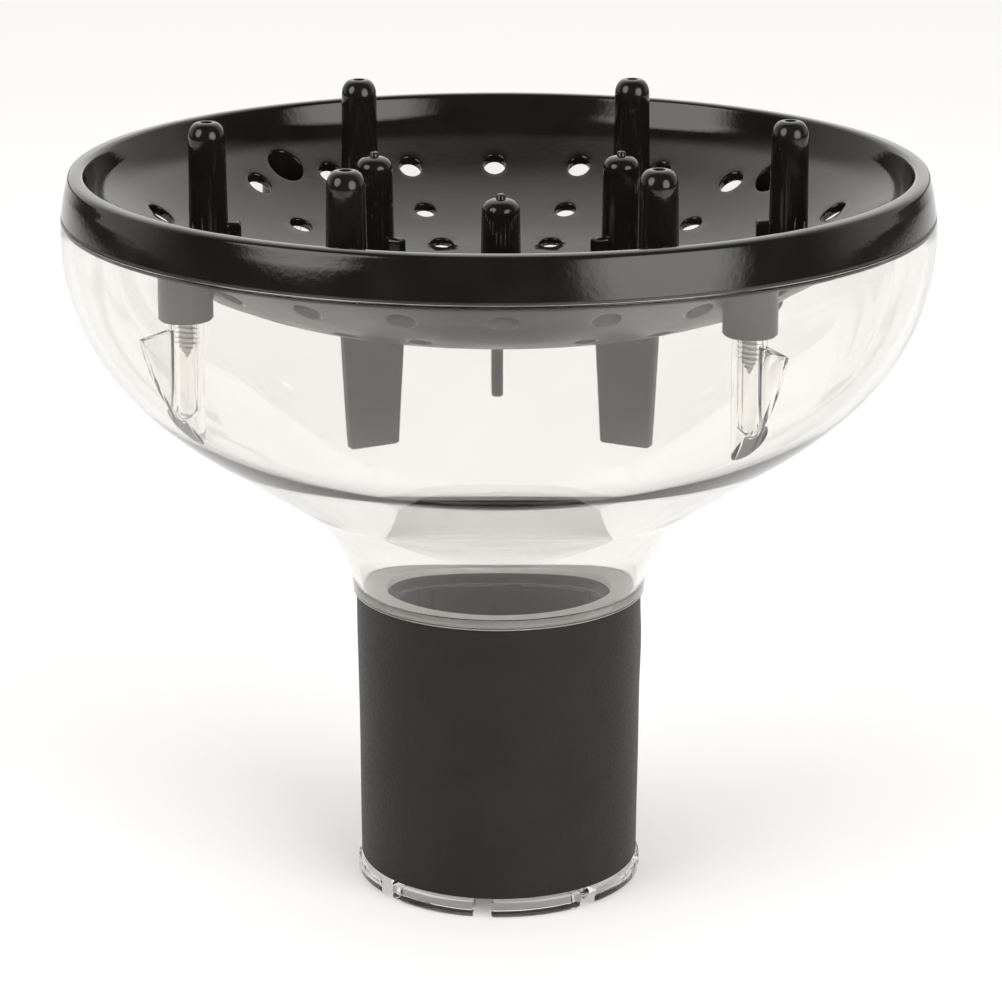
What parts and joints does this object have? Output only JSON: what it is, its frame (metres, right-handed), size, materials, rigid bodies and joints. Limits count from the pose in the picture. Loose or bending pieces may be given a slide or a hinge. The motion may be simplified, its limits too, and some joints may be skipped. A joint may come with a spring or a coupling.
{
  "type": "hair dryer diffuser",
  "caption": "Push-on diffuser bowl: clear bell with a slotted collet under a rubber sleeve, closed by a black perforated dish with tall and short prongs.",
  "frame": {"origin": "on the axis, in the plane of the collet lips that it stands on", "axes": "+Z along the axis, the way the air leaves through the dish; +X through one of the six tall prongs"},
  "size_m": [0.1654, 0.1653, 0.1502],
  "materials": {
    "clear_plastic": "clear polished polycarbonate, slightly warm",
    "black_plastic": "high-gloss injection-moulded ABS",
    "black_rubber": "matte black rubber",
    "screw_steel": "zinc-plated steel"
  },
  "bodies": {
    "root": {"clear_bell": "clear_plastic", "finger_plate": "black_plastic", "rubber_sleeve": "black_rubber", "plate_screws": "screw_steel"},
    "collet_finger_1": {"collet_finger_1": "clear_plastic"},
    "collet_finger_2": {"collet_finger_2": "clear_plastic"},
    "collet_finger_3": {"collet_finger_3": "clear_plastic"},
    "collet_finger_4": {"collet_finger_4": "clear_plastic"},
    "collet_finger_5": {"collet_finger_5": "clear_plastic"},
    "collet_finger_6": {"collet_finger_6": "clear_plastic"},
    "collet_finger_7": {"collet_finger_7": "clear_plastic"},
    "collet_finger_8": {"collet_finger_8": "clear_plastic"}
  },
  "joints": [
    {"name": "finger_1_flex", "type": "hinge", "parent": "root", "child": "collet_finger_1", "pos_m": [0.01222, 0.02117, 0.054], "axis": [0.866, -0.5, 0], "range_deg": [0, 1.35], "stiffness_Nm_per_rad": 2},
    {"name": "finger_2_flex", "type": "hinge", "parent": "root", "child": "collet_finger_2", "pos_m": [-0.00633, 0.02362, 0.054], "axis": [0.9659, 0.2588, 0], "range_deg": [0, 1.35], "stiffness_Nm_per_rad": 2},
    {"name": "finger_3_flex", "type": "hinge", "parent": "root", "child": "collet_finger_3", "pos_m": [-0.02117, 0.01222, 0.054], "axis": [0.5, 0.866, 0], "range_deg": [0, 1.35], "stiffness_Nm_per_rad": 2},
    {"name": "finger_4_flex", "type": "hinge", "parent": "root", "child": "collet_finger_4", "pos_m": [-0.02362, -0.00633, 0.054], "axis": [-0.2588, 0.9659, 0], "range_deg": [0, 1.35], "stiffness_Nm_per_rad": 2},
    {"name": "finger_5_flex", "type": "hinge", "parent": "root", "child": "collet_finger_5", "pos_m": [-0.01222, -0.02117, 0.054], "axis": [-0.866, 0.5, 0], "range_deg": [0, 1.35], "stiffness_Nm_per_rad": 2},
    {"name": "finger_6_flex", "type": "hinge", "parent": "root", "child": "collet_finger_6", "pos_m": [0.00633, -0.02362, 0.054], "axis": [-0.9659, -0.2588, 0], "range_deg": [0, 1.35], "stiffness_Nm_per_rad": 2},
    {"name": "finger_7_flex", "type": "hinge", "parent": "root", "child": "collet_finger_7", "pos_m": [0.02117, -0.01222, 0.054], "axis": [-0.5, -0.866, 0], "range_deg": [0, 1.35], "stiffness_Nm_per_rad": 2},
    {"name": "finger_8_flex", "type": "hinge", "parent": "root", "child": "collet_finger_8", "pos_m": [0.02362, 0.00633, 0.054], "axis": [0.2588, -0.9659, 0], "range_deg": [0, 1.35], "stiffness_Nm_per_rad": 2}
  ],
  "couplings": [
    {"joint": "finger_2_flex", "follows": "finger_1_flex", "ratio": 1},
    {"joint": "finger_3_flex", "follows": "finger_1_flex", "ratio": 1},
    {"joint": "finger_4_flex", "follows": "finger_1_flex", "ratio": 1},
    {"joint": "finger_5_flex", "follows": "finger_1_flex", "ratio": 1},
    {"joint": "finger_6_flex", "follows": "finger_1_flex", "ratio": 1},
    {"joint": "finger_7_flex", "follows": "finger_1_flex", "ratio": 1},
    {"joint": "finger_8_flex", "follows": "finger_1_flex", "ratio": 1}
  ]
}
